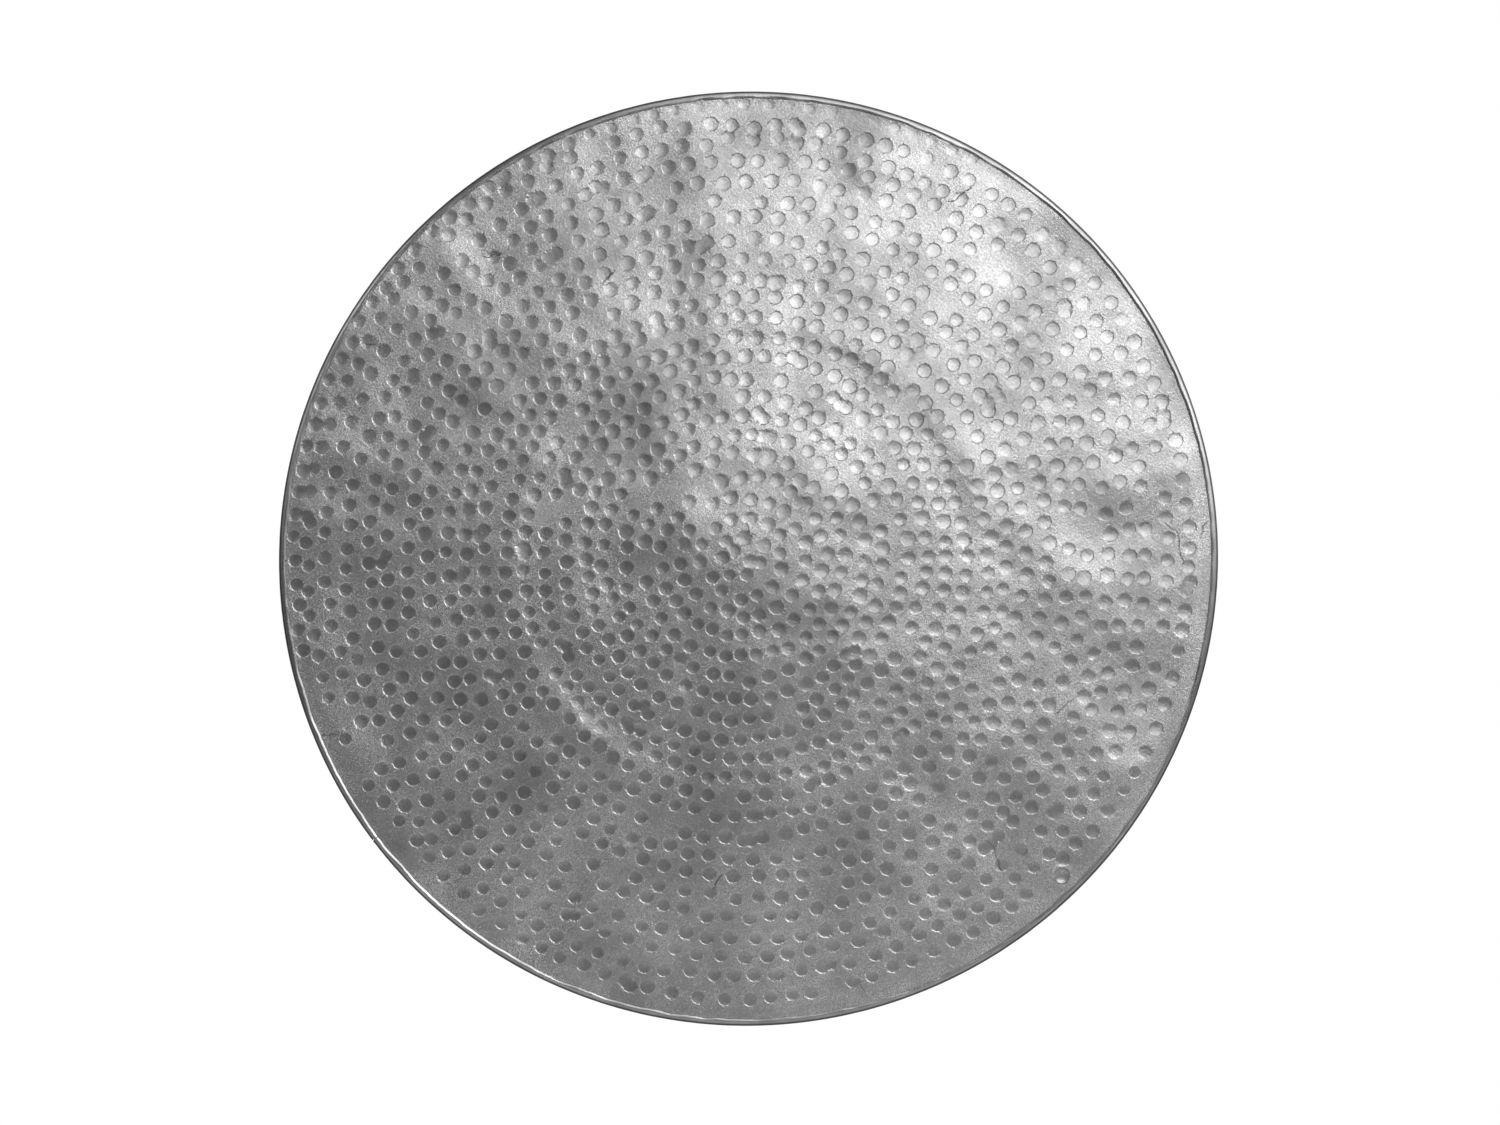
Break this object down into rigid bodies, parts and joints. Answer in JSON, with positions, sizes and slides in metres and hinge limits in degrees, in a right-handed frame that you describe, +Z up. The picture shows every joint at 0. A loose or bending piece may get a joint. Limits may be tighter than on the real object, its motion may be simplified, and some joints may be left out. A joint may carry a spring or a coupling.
{
  "type": "tam tam gong",
  "caption": "Round hand-hammered sheet-metal gong: a shallow dished plate seamed to a turned-back rim with a wired rear edge and eyeleted cord holes for hanging.",
  "frame": {"origin": "midway between the two cord holes in the rim, at the middle of the rim skirt's thickness, where the gong hangs", "axes": "+Z up as it hangs, -Y the way the hammered face looks, +X to the right seen from the front"},
  "size_m": [0.7018, 0.0649, 0.6982],
  "materials": {
    "hammered_plate": "hammered, satin, worn",
    "folded_strip": "planished strip, dull",
    "drawn_wire": "drawn, plain",
    "plated_eyelet": "nickel plated",
    "soft_rivet": "hammered round head"
  },
  "bodies": {
    "root": {"gong_plate": "hammered_plate", "rim_hoop": "folded_strip", "rim_wire": "drawn_wire", "joint_strap": "folded_strip", "strap_rivet_1": "soft_rivet", "strap_rivet_2": "soft_rivet", "strap_rivet_3": "soft_rivet", "strap_rivet_4": "soft_rivet", "hang_eyelet_left": "plated_eyelet", "eyelet_washer_left": "plated_eyelet", "hang_eyelet_right": "plated_eyelet", "eyelet_washer_right": "plated_eyelet"}
  },
  "joints": []
}
